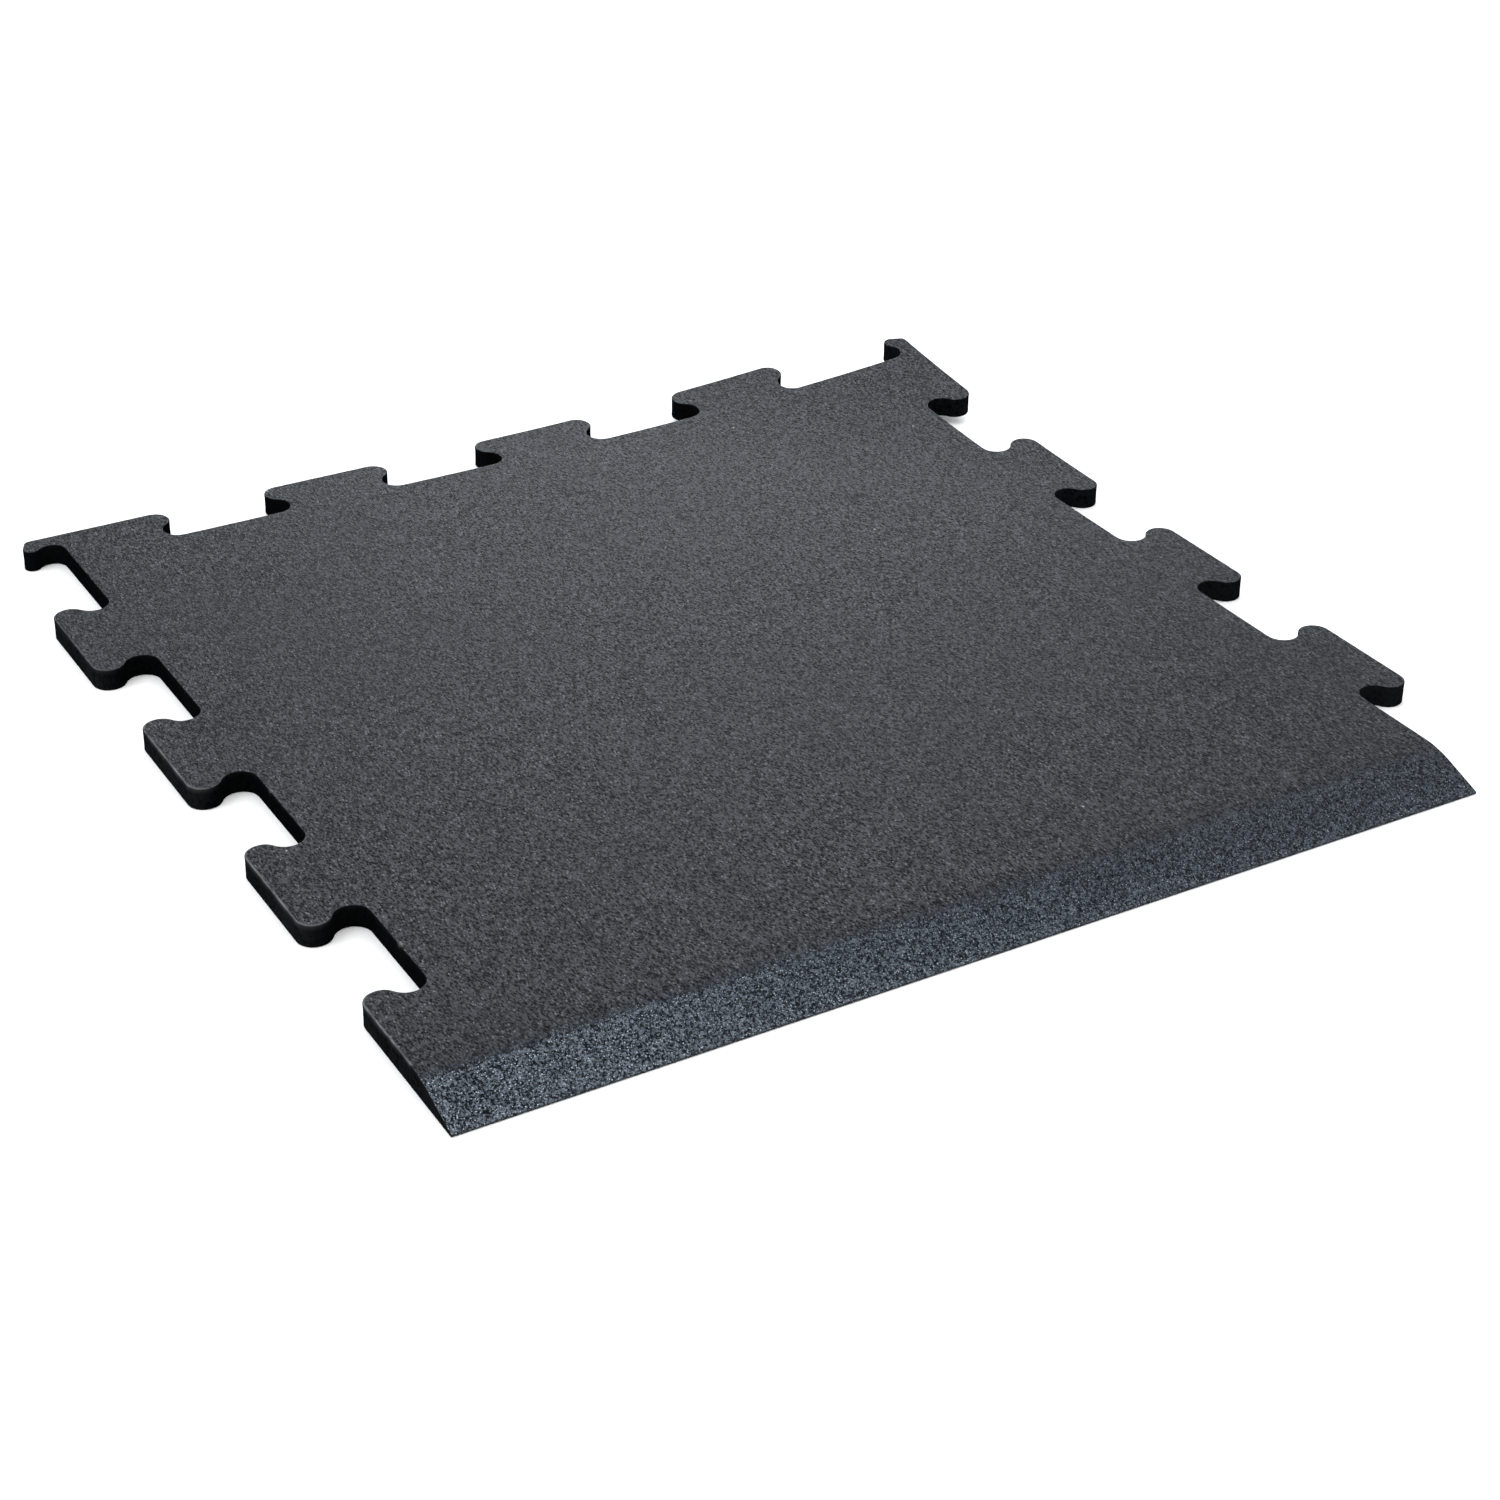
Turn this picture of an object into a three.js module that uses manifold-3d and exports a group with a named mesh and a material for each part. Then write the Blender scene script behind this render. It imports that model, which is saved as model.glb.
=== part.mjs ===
// Interlocking rubber gym floor tile, the edge type: three sides have dovetail tabs and
// sockets, the fourth is a ramp down to the floor.
// Millimetres, +Z up, the ramp faces the front (-Y), origin at the middle of the underside.

import * as THREE from 'three';
import { mergeVertices } from 'three/addons/utils/BufferGeometryUtils.js';
import Module from 'manifold-3d';

// The sheet
const tipSpan = 600;            // the square that the tab tips reach
const thickness = 12;
const frontSetback = 1.8;       // the ramp ends this far inside that square

// The interlock, the same on every side that has one
const tabsPerSide = 4;
const tabDepth = 33.5;          // socket floor to tab tip
const tabWidth = 77.4;          // over the two lobes of a tab
const tabPitch = 137.1;
const flankSwing = 58;          // degrees that the two arcs of a flank turn past square

// The hook that closes the last socket at a back corner
const hookRoot = 10.6;          // its thickness above the notch
const hookThickness = 14.8;     // its thickness at the lobe
const hookNotchRadius = 7.6;
const hookLobeRadius = 4.8;
const hookCornerRadius = 3.6;
const hookLean = 24;            // degrees that the end face leans back

// The ramp
const rampRun = 30.5;           // foot to crest, before the crest is rounded
const footHeight = 1.6;         // left standing at the foot of the ramp
const crestRadius = 60;

// The set that the back right corner has taken: it stands off the floor
const cornerLift = 17;
const liftRun = 193;            // fold line to corner
const liftHeading = 51;         // degrees from +X to the way that the corner rises
const liftFolds = 12;

const arcSteps = 8;
const half = tipSpan / 2;
const backLine = half - frontSetback / 2;
const centreY = backLine - half;
const frontLine = centreY - half + frontSetback;
const rad = THREE.MathUtils.degToRad;

// A flank is two equal arcs that touch: out round the lobe, then back into the notch.
// undercut is the overhang that they make.
const swing = rad(flankSwing);
const lobeRadius = tabDepth / (2 + 2 * Math.sin(swing));
const undercut = 2 * lobeRadius * (1 - Math.cos(swing));
const socketMouth = tabPitch - tabWidth;

// Where the tab at the start of a side ends, measured from the corner. It is set so that
// the tabs of the right side fall into the sockets of the left side of a like tile.
const pitchesBetween = tabsPerSide - 2;
const firstEnd = (tipSpan - 1.5 * socketMouth - tabWidth / 2 - pitchesBetween * tabPitch) / 2;

// The outline is walked clockwise, so the outside is on the left hand. On each side s runs
// along the walk from the corner of the tip square and d runs outward from the socket floor.
function makeSide(path, heading) {
  const turn = rad(heading);
  const spin = new THREE.Vector2(0, centreY);
  return {
    arc(s, d, radius, from, to, clockwise) {
      const c = new THREE.Vector2(s - half, half - tabDepth + d + centreY);
      c.rotateAround(spin, turn);
      path.absarc(c.x, c.y, radius, from + turn, to + turn, clockwise);
    },
  };
}

function tabStart(side, s) {
  side.arc(s + undercut - lobeRadius, lobeRadius, lobeRadius, -Math.PI / 2, swing, false);
  side.arc(s + lobeRadius, tabDepth - lobeRadius, lobeRadius, Math.PI + swing, Math.PI / 2, true);
}

function tabEnd(side, s) {
  side.arc(s - lobeRadius, tabDepth - lobeRadius, lobeRadius, Math.PI / 2, -swing, true);
  side.arc(s - undercut + lobeRadius, lobeRadius, lobeRadius, Math.PI - swing, Math.PI * 1.5, false);
}

// The corner hook: a notch, a small lobe, a leaning end face and a rounded corner that
// runs on into the tip line of the next side.
function cornerHook(side) {
  const notchS = tipSpan - hookRoot - hookNotchRadius;
  const lobeS = tipSpan - hookThickness + hookLobeRadius;
  const reach = hookNotchRadius + hookLobeRadius;
  const climb = Math.acos((lobeS - notchS) / reach);
  const lobeD = hookNotchRadius + reach * Math.sin(climb);
  const face = Math.PI / 2 - rad(hookLean);
  const cornerS = tipSpan - hookCornerRadius;
  const drop = hookLobeRadius - hookCornerRadius - (cornerS - lobeS) * Math.cos(face);
  const cornerD = lobeD + drop / Math.sin(face);
  side.arc(notchS, hookNotchRadius, hookNotchRadius, -Math.PI / 2, climb, false);
  side.arc(lobeS, lobeD, hookLobeRadius, Math.PI + climb, face, true);
  side.arc(cornerS, cornerD, hookCornerRadius, face, 0, true);
}

function sideTabs(side) {
  tabEnd(side, firstEnd);
  for (let k = 0; k < tabsPerSide - 1; k++) {
    const start = firstEnd + socketMouth + k * tabPitch;
    tabStart(side, start);
    tabEnd(side, start + tabWidth);
  }
}

// The straight foot of the ramp, then the left side, the back and the right side.
const outline = new THREE.Shape();
const left = makeSide(outline, 90);
const back = makeSide(outline, 0);
const right = makeSide(outline, -90);
outline.moveTo(half - tabDepth, frontLine);
outline.lineTo(-half, frontLine);
sideTabs(left);
cornerHook(left);
sideTabs(back);
cornerHook(back);
sideTabs(right);
outline.closePath();

const slab = new THREE.ExtrudeGeometry(outline, {
  depth: thickness,
  bevelEnabled: false,
  curveSegments: arcSteps,
});

// What the ramp takes away, drawn from the side (x is the tile's y, y is its z) and swept
// across the whole width.
const slope = Math.atan2(thickness - footHeight, rampRun);
const crestY = frontLine + rampRun;
const ease = crestRadius * Math.tan(slope / 2);
const spare = 5;
const waste = new THREE.Shape();
waste.moveTo(frontLine - spare, thickness + spare);
waste.lineTo(frontLine - spare, footHeight - spare * Math.tan(slope));
waste.absarc(crestY + ease, thickness - crestRadius, crestRadius, Math.PI / 2 + slope, Math.PI / 2, true);
waste.lineTo(crestY + ease, thickness + spare);
waste.closePath();

const wasteLength = tipSpan + 2 * spare;
const wedge = new THREE.ExtrudeGeometry(waste, {
  depth: wasteLength,
  bevelEnabled: false,
  curveSegments: 3,
});
// (x, y, z) of the drawing become (y, z, x) of the tile
wedge.applyMatrix4(new THREE.Matrix4().set(
  0, 0, 1, -wasteLength / 2,
  1, 0, 0, 0,
  0, 1, 0, 0,
  0, 0, 0, 1,
));

const wasm = await Module();
wasm.setup();

function toSolid(geometry) {
  const bare = geometry.clone();
  bare.deleteAttribute('normal');
  bare.deleteAttribute('uv');
  const merged = mergeVertices(bare, 1e-4);
  return new wasm.Manifold(new wasm.Mesh({
    numProp: 3,
    vertProperties: new Float32Array(merged.attributes.position.array),
    triVerts: new Uint32Array(merged.index.array),
  }));
}

// Distance of a point past the fold line where the corner starts to rise
const rise = new THREE.Vector3(Math.cos(rad(liftHeading)), Math.sin(rad(liftHeading)), 0);
const foldAt = rise.x * half + rise.y * backLine - liftRun;
const pastFold = (p) => p.dot(rise) - foldAt;

// Splits every triangle that the fold line at this distance crosses. The point where it
// crosses an edge is made once, so the triangles on both sides of the edge share it.
function addFold(points, faces, distance) {
  const offset = points.map((p) => pastFold(p) - distance);
  const side = offset.map((w) => (Math.abs(w) < 1e-3 ? 0 : Math.sign(w)));
  const crossings = new Map();
  const crossing = (a, b) => {
    const [i, j] = a < b ? [a, b] : [b, a];
    const key = `${i} ${j}`;
    if (!crossings.has(key)) {
      const t = offset[i] / (offset[i] - offset[j]);
      crossings.set(key, points.push(points[i].clone().lerp(points[j], t)) - 1);
    }
    return crossings.get(key);
  };
  const split = [];
  for (const face of faces) {
    const below = [];
    const above = [];
    face.forEach((a, i) => {
      const b = face[(i + 1) % 3];
      if (side[a] <= 0) below.push(a);
      if (side[a] >= 0) above.push(a);
      if (side[a] * side[b] < 0) {
        const m = crossing(a, b);
        below.push(m);
        above.push(m);
      }
    });
    for (const ring of [below, above]) {
      for (let i = 2; i < ring.length; i++) {
        split.push([ring[0], ring[i - 1], ring[i]]);
      }
    }
  }
  return split;
}

// The height grows with the square of the distance, and runs straight from fold to fold.
function liftOf(distance) {
  const step = liftRun / liftFolds;
  const k = Math.max(0, Math.floor(distance / step));
  const height = (n) => cornerLift * (n / liftFolds) ** 2;
  const part = Math.max(0, distance / step - k);
  return height(k) + (height(k + 1) - height(k)) * part;
}

function toBentGeometry(solid) {
  const mesh = solid.getMesh();
  const points = [];
  for (let i = 0; i < mesh.vertProperties.length; i += 3) {
    points.push(new THREE.Vector3().fromArray(mesh.vertProperties, i));
  }
  let faces = [];
  for (let i = 0; i < mesh.triVerts.length; i += 3) {
    faces.push([...mesh.triVerts.subarray(i, i + 3)]);
  }
  for (let n = 0; n <= liftFolds; n++) {
    faces = addFold(points, faces, n * liftRun / liftFolds);
  }
  for (const p of points) {
    const distance = pastFold(p);
    if (distance > 0) p.z += liftOf(distance);
  }
  const geometry = new THREE.BufferGeometry().setFromPoints(points);
  geometry.setIndex(faces.flat());
  geometry.computeVertexNormals();
  return geometry;
}

const rubber = new THREE.MeshStandardMaterial({
  name: 'black bonded rubber',
  color: 0x303133,
  roughness: 0.92,
  metalness: 0,
});

const sheet = toSolid(slab).subtract(toSolid(wedge));
const tile = new THREE.Mesh(toBentGeometry(sheet), rubber);
tile.name = 'tile';

const gymTile = new THREE.Group();
gymTile.name = 'gym_floor_tile';
gymTile.add(tile);

export default gymTile;
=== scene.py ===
# %% [markdown]
# A rubber gym floor tile
#
# The real tile is one sheet of black rubber crumb, pressed with a binder and cut to shape.
# Three sides have dovetail tabs that lock into the next tile, and the fourth side is ground
# down to a ramp. It has four kinds of surface: the pressed top, the ground ramp, the cut
# sides and the underside.
#
# The imported model already gives the size and the place of everything. So this script only
# dresses it: it reads the frame first, and prints the tile's size from the frame's box.

# %% Load the frame
import math

import bpy
import numpy as np
from mathutils import Matrix, Vector, noise
from mathutils.geometry import delaunay_2d_cdt


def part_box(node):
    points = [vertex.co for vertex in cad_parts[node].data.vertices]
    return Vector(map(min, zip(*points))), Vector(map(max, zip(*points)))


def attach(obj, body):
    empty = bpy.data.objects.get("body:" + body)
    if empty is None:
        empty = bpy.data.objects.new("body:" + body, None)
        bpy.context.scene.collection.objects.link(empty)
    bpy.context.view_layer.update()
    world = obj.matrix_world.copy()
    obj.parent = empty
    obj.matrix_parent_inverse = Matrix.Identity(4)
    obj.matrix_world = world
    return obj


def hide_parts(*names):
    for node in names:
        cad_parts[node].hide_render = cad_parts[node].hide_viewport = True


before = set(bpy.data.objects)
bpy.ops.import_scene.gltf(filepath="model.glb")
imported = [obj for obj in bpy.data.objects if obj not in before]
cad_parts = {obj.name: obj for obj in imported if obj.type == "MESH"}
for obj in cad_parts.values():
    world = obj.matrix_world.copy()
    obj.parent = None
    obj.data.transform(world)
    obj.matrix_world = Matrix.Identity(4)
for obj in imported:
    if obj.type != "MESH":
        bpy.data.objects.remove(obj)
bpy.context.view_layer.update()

mm = 0.001
tile_low, tile_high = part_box("tile")
print("the tile measures", [round(c / mm, 1) for c in tile_high - tile_low], "mm")

# %% [markdown]
# The camera
#
# The camera comes first, because everything after it is judged through it. A viewing angle
# could be found by eye, but a flat square tile is a good ruler: its corners fix the place,
# the direction and the focal length together. The values below say where the lens stands,
# which way it looks and where its axis meets the picture, which is a little above the
# middle. The lens shift takes up that difference.

# %% Where the camera stands and looks
camera_place = Vector((-0.6950, -1.2017, 0.7658))
view_azimuth = math.radians(-30.705)    # 0 looks along +Y
view_elevation = math.radians(29.805)
view_roll = math.radians(0.848)

towards_camera = Vector((
    math.sin(view_azimuth) * math.cos(view_elevation),
    -math.cos(view_azimuth) * math.cos(view_elevation),
    math.sin(view_elevation),
))
level_right = Vector((0, 0, 1)).cross(towards_camera).normalized()
level_up = towards_camera.cross(level_right)
right = level_right * math.cos(view_roll) + level_up * math.sin(view_roll)
up = level_up * math.cos(view_roll) - level_right * math.sin(view_roll)
print("the camera is", round(camera_place.length, 2), "m from the middle of the tile")

# %% Camera
picture_side = 1500                     # pixels
focal_length = 2949.1                   # pixels
axis_x, axis_y = 748.4, 714.0           # pixels from the left and from the top
sensor_width = 36                       # millimetres

camera_data = bpy.data.cameras.new("camera")
camera_data.sensor_width = sensor_width
camera_data.lens = focal_length / picture_side * sensor_width
camera_data.shift_x = (picture_side / 2 - axis_x) / picture_side
camera_data.shift_y = (axis_y - picture_side / 2) / picture_side

camera = bpy.data.objects.new("camera", camera_data)
camera.matrix_world = Matrix.Translation(camera_place) @ Matrix((
    right, up, towards_camera,
)).transposed().to_4x4()
bpy.context.scene.collection.objects.link(camera)
bpy.context.scene.camera = camera
print("lens", round(camera_data.lens, 2), "mm")

# %% [markdown]
# The tabs
#
# The tile is cut by a die, so one outline makes every side. A tab's flank is two equal arcs
# that touch: one goes round the lobe and the other into the notch. A free curve could
# follow them as well, but the tabs of one tile have to fit the notches of the next, and
# equal arcs do that by themselves. On each side, s runs along the side and d runs outward
# from the floor of the sockets.

# %% Sizes of the tile
tip_span = 600 * mm                     # the square that the tab tips reach
thickness = 12 * mm
front_setback = 1.8 * mm
tabs_per_side = 4
tab_depth = 33.5 * mm
tab_width = 77.4 * mm
tab_pitch = 137.1 * mm
flank_swing = math.radians(58)

half = tip_span / 2
back_line = half - front_setback / 2
centre_y = back_line - half
front_line = centre_y - half + front_setback
lobe_radius = tab_depth / (2 + 2 * math.sin(flank_swing))
undercut = 2 * lobe_radius * (1 - math.cos(flank_swing))
socket_mouth = tab_pitch - tab_width
# Where the part-tab ends. It is set so that a like tile's right side fits this one's left.
first_end = (tip_span - 1.5 * socket_mouth - tab_width / 2
             - (tabs_per_side - 2) * tab_pitch) / 2
print("lobes of radius", round(lobe_radius / mm, 2), "mm")

# %% Arcs
point_gap = 1.5 * mm                    # between neighbouring points of the outline
fewest_steps = 5                        # in the smallest arc
quarter = math.pi / 2


def arc_points(centre, radius, start, end):
    """Points along an arc, about point_gap apart."""
    count = max(fewest_steps, math.ceil(abs(end - start) * radius / point_gap))
    angles = np.linspace(start, end, count + 1)
    return [centre + radius * np.array((math.cos(a), math.sin(a))) for a in angles]


def side_walker(points, heading):
    """Adds arcs to points, in the s and d of the side that faces this heading."""
    turn = math.radians(heading)
    spin = np.array(((math.cos(turn), -math.sin(turn)), (math.sin(turn), math.cos(turn))))

    def add(s, d, radius, start, end):
        centre = spin @ (s - half, half - tab_depth + d) + (0, centre_y)
        points.extend(arc_points(centre, radius, start + turn, end + turn))

    return add


print("a quarter of a lobe has", len(arc_points(np.zeros(2), lobe_radius, 0, quarter)), "points")

# %% Tabs


def tab_start(add, s):
    add(s + undercut - lobe_radius, lobe_radius, lobe_radius, -quarter, flank_swing)
    add(s + lobe_radius, tab_depth - lobe_radius, lobe_radius,
        math.pi + flank_swing, quarter)


def tab_end(add, s):
    add(s - lobe_radius, tab_depth - lobe_radius, lobe_radius, quarter, -flank_swing)
    add(s - undercut + lobe_radius, lobe_radius, lobe_radius,
        math.pi - flank_swing, 3 * quarter)


def side_tabs(add):
    """The wide part-tab at the start of a side, and the whole tabs after it."""
    tab_end(add, first_end)
    for k in range(tabs_per_side - 1):
        start = first_end + socket_mouth + k * tab_pitch
        tab_start(add, start)
        tab_end(add, start + tab_width)


print("each flank overhangs by", round(undercut / mm, 2), "mm")

# %% [markdown]
# The corner hooks
#
# At the two back corners the last socket needs a far side that holds the next tile's tab.
# On the real tile that is a small hook: a round notch, a lobe, an end face that leans back
# and a rounded corner. There is no room there for a whole tab. The hook could be drawn
# point by point, but as arcs that touch it stays smooth when one of its sizes is changed.

# %% Corner hooks
hook_root = 10.6 * mm
hook_thickness = 14.8 * mm
hook_notch_radius = 7.6 * mm
hook_lobe_radius = 4.8 * mm
hook_corner_radius = 3.6 * mm
hook_lean = math.radians(24)


def corner_hook(add):
    """A notch, a small lobe, a leaning end face and a rounded corner."""
    notch_s = tip_span - hook_root - hook_notch_radius
    lobe_s = tip_span - hook_thickness + hook_lobe_radius
    reach = hook_notch_radius + hook_lobe_radius
    climb = math.acos((lobe_s - notch_s) / reach)
    lobe_d = hook_notch_radius + reach * math.sin(climb)
    face = quarter - hook_lean
    corner_s = tip_span - hook_corner_radius
    drop = hook_lobe_radius - hook_corner_radius - (corner_s - lobe_s) * math.cos(face)
    corner_d = lobe_d + drop / math.sin(face)
    add(notch_s, hook_notch_radius, hook_notch_radius, -quarter, climb)
    add(lobe_s, lobe_d, hook_lobe_radius, math.pi + climb, face)
    add(corner_s, corner_d, hook_corner_radius, face, 0)


print("the hooks overhang by", round((hook_thickness - hook_root) / mm, 2), "mm")

# %% [markdown]
# One closed outline
#
# The walk goes clockwise: along the foot of the ramp, up the left side, over the back and
# down the right side. Arcs give points that are close together, but a straight gives only
# its two ends. The worn edge will need a width at every point, so the straights are divided
# as well. A bevel tool would find the way outward by itself. Here it is worked out once for
# each point, as a mitre, and everything that follows the outline is moved along it.

# %% The four sides
corners = [np.array((half - tab_depth, front_line)), np.array((-half, front_line))]
left_side = side_walker(corners, 90)
back_side = side_walker(corners, 0)
right_side = side_walker(corners, -90)
side_tabs(left_side)
corner_hook(left_side)
side_tabs(back_side)
corner_hook(back_side)
side_tabs(right_side)
print("the walk gives", len(corners), "points")

# %% Straights divided as well
same_place = 0.05 * mm                  # points that are closer than this are one


def evenly(points, gap):
    """The closed outline with its straights divided, and no point twice."""
    out = []
    for a, b in zip(points, points[1:] + points[:1]):
        length = np.linalg.norm(b - a)
        if length > same_place:
            steps = max(1, round(length / gap))
            out += [a + (b - a) * k / steps for k in range(steps)]
    return np.array(out)


outline = evenly(corners, point_gap)
flat_count = len(outline)
on_foot = outline[:, 1] < front_line + same_place
print("outline of", flat_count, "points,", on_foot.sum(), "of them on the ramp's foot")

# %% The way outward
before = outline - np.roll(outline, 1, axis=0)
after = np.roll(outline, -1, axis=0) - outline
before /= np.linalg.norm(before, axis=1)[:, None]
after /= np.linalg.norm(after, axis=1)[:, None]
# The walk is clockwise, so the outside is on the left of each stretch
mean_way = before + after
outward = np.stack((-mean_way[:, 1], mean_way[:, 0]), axis=1)
# Long enough at a corner to move both of its straights out by one
outward /= (1 + (before * after).sum(axis=1))[:, None]
print("the longest mitre is", round(np.linalg.norm(outward, axis=1).max(), 2))

# %% [markdown]
# The height of the surface
#
# The top is flat but for two things. The front is ground to a ramp with a rounded crest,
# and the back right corner has taken a set, so it stands off the floor. Both are a height
# for each place on the floor, so both are written as functions of x and y. The same two
# functions then shape the top, the sides and the underside, and the three can't part.

# %% Ramp and lifted corner
ramp_run = 30.5 * mm
foot_height = 1.6 * mm
crest_radius = 60 * mm
corner_lift = 17 * mm
lift_run = 193 * mm
lift_heading = math.radians(51)

slope = math.atan2(thickness - foot_height, ramp_run)
crest_y = front_line + ramp_run
ease = crest_radius * math.tan(slope / 2)       # from the crest to each end of its rounding
rise = np.array((math.cos(lift_heading), math.sin(lift_heading)))
fold_at = rise @ (half, back_line) - lift_run   # where the lift starts, along its heading


def top_height(places):
    """Thickness of the sheet at each place, before any lift."""
    y = places[:, 1]
    straight = foot_height + (y - front_line) * math.tan(slope)
    past = np.clip(crest_y + ease - y, 0, crest_radius)
    crest = thickness - crest_radius + np.sqrt(crest_radius ** 2 - past ** 2)
    on_slope = y < crest_y - ease * math.cos(slope)
    return np.where(on_slope, straight, crest)


def lift(places):
    """How far each place stands off the floor."""
    past = np.clip(places @ rise - fold_at, 0, None)
    return corner_lift * (past / lift_run) ** 2


print("the ramp slopes at", round(math.degrees(slope), 1), "degrees")

# %% [markdown]
# Crumb that shows on the ramp
#
# The press leaves a closed skin on the top, but the grinder opens it: on the ramp the
# single crumbs stand up, with gaps between them. A bump map would look the same from
# above, but it can't break up the ramp's edges or its outline, so the crumbs are real
# here. Each one is a cell of a Voronoi pattern with its own height. The ground band ends
# in a ragged line, because the grinding stone just runs out there. Towards the right end,
# and most of all near the crest, the ground share is turned down. That is painted shade: it
# darkens the ramp's colour there, and it lowers the crumbs a little as well.

# %% How far the ramp is ground, with painted shade at the right end
ground_run = 31.5 * mm                  # foot to the end of the ground band
ground_wander = 2.0 * mm
ground_fade = 6.5 * mm
slow_waves, quick_waves = 16, 70        # of the ragged line, per metre
slow_row, quick_layer = 0.3, 4          # where each is cut out of the noise
quick_share = 0.6
right_end_shade = 0.30                     # painted shade: how far the share is turned down at the right end
shade_from = -300 * mm
shade_run = 450 * mm
crest_shade_lean = 0.3                      # how far that painted shade leans towards the crest


def ground_and_shade_share(x, y):
    """Up to 1 on the ramp, 0 on the pressed top, and between them at the ragged line.
    It is turned down towards the right end, as painted shade.
    """
    slow = noise.noise((x * slow_waves, slow_row, 0))
    quick = noise.noise((x * quick_waves, y * quick_waves, quick_layer))
    edge = front_line + ground_run + ground_wander * (slow + quick_share * quick)
    along = min(1, max(0, (x - shade_from) / shade_run))
    up_ramp = min(1, max(0, (y - front_line) / ground_run))
    # painted shade: the share falls towards the right end, most near the crest
    strength = 1 - right_end_shade * along * (1 + 2 * crest_shade_lean * (up_ramp - 0.5))
    return strength * min(1, max(0, (edge - y) / ground_fade + 0.5))


end_shares = [round(ground_and_shade_share(x, front_line), 2) for x in (-half, half)]
print("the foot is ground to", end_shares, "at the left and the right end")

# %% Crumb relief
crumb_size = 1.6 * mm
crumb_rise = 0.20 * mm                  # between the highest and the lowest crumb
crumb_gap_depth = 0.16 * mm
crumb_gap_width = 0.32                  # as a share of a crumb
number_spread = 37.0                    # so that neighbouring crumbs get unlike numbers


def crumb_at(x, y):
    """The relief, the crumb's own number from 0 to 1, how deep in a gap this is, and the
    share to which it is ground, which carries the painted shade at the right end."""
    near, cells = noise.voronoi((x / crumb_size, y / crumb_size, 0))
    number = noise.cell(cells[0] * number_spread)
    gap = 1 - min(1, (near[1] - near[0]) / crumb_gap_width)
    share = ground_and_shade_share(x, y)
    relief = share * (crumb_rise * (number - 0.5) - crumb_gap_depth * gap)
    return relief, number, gap, share


print("about", round(tip_span / crumb_size), "crumbs lie side by side along the ramp")

# %% [markdown]
# The worn edge
#
# A die never leaves a knife edge in rubber. It leaves a small worn rounding, called an
# arris, and that is what catches the light along the tabs. Its width wanders a little, and
# in two places a crumb has come out and left a nick. A bevel modifier could round the edge,
# but it has one width all along. Here each point of the outline has a width of its own.

# %% Width of the edge
arris = 0.55 * mm
arris_wander = 0.22 * mm
arris_waves = 210                       # per metre
arris_layer = 1
nicks = (                               # place, width and depth
    ((-266.5 * mm, -174.3 * mm), 2.2 * mm, 1.1 * mm),
    ((-266.5 * mm, -21.9 * mm), 1.7 * mm, 0.8 * mm),
)


def outline_noise(waves, layer):
    """Smooth noise from -1 to 1, one value for each point of the outline."""
    return np.array([noise.noise((x * waves, y * waves, layer)) for x, y in outline])


bite = arris + arris_wander * outline_noise(arris_waves, arris_layer)
nicked = np.zeros(flat_count)
for place, width, depth in nicks:
    away = np.linalg.norm(outline - place, axis=1) / width
    closeness = np.clip(1 - away ** 2, 0, 1)
    nicked += closeness
    bite += depth * closeness
print("the edge is", round(bite.min() / mm, 2), "to", round(bite.max() / mm, 2), "mm wide")

# %% [markdown]
# Where the edge is worn, lit and shaded
#
# Wear isn't the same all round. The tab tips rub against things and go grey. The lighter
# line along the edge is also partly a painted highlight: it is kept mostly to the tabs on
# the left, whose edges face the light, left off the right side and thinned towards the back,
# whose edges face away. The cut sides are darker deep in the sockets, and that is painted
# shade. The masks could be painted by hand, but then they would have to be painted again
# after each change of the outline. So they are worked out from how far each point lies
# inside the line of the tips.

# %% Wear, painted highlight and painted socket shade
wear_depth = 0.5 * tab_depth            # from the tips inward
least_wear, foot_wear = 0.12, 0.08
ramp_end = 40 * mm                      # the ends of the ramp have the least wear
back_fade_from, back_fade_to = 30 * mm, 170 * mm
back_wear_and_highlight = 0.3                        # the back tabs get less of the painted highlight
socket_shade_depth = 0.4 * tab_depth
clear_at_tip = 1.1                      # above 1, so the tips stay clear of the painted shade a little way in
least_clear, right_clear = 0.3, 0.75
right_band = 1.2 * tab_depth            # this far in from the right tips is the right side

from_tip = half - np.maximum(abs(outline[:, 0]), abs(outline[:, 1] - centre_y))
on_right = outline[:, 0] > half - right_band
tip_wear_and_highlight = np.clip(1 - from_tip / wear_depth, least_wear, 1)
tip_wear_and_highlight *= np.interp(outline[:, 1], (back_fade_from, back_fade_to), (1, back_wear_and_highlight))
tip_wear_and_highlight[outline[:, 1] < front_line + ramp_end] = least_wear
# no lighter line on the right side, whose edges face away from the light: painted highlight
tip_wear_and_highlight[on_right] = 0
tip_wear_and_highlight[on_foot] = foot_wear
tip_wear_and_highlight = np.maximum(tip_wear_and_highlight, nicked)
# painted shade: the cut sides darken from the tab tips into the sockets
clear_of_socket_shade = np.clip(clear_at_tip - from_tip / socket_shade_depth, least_clear, 1)
clear_of_socket_shade[on_right] = right_clear
print((tip_wear_and_highlight > 0.5).sum(), "of", flat_count, "points are well worn")

# %% [markdown]
# Rings round the edge
#
# The sides are made of rings that follow the outline, from the underside up to the top.
# Pushing the outline up into a wall would be quicker, but then the wall has only two edges
# and nowhere to round, waver or bend. The first and the last ring are support rings: they
# keep the rounded shading close to the edges and the faces flat.

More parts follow.
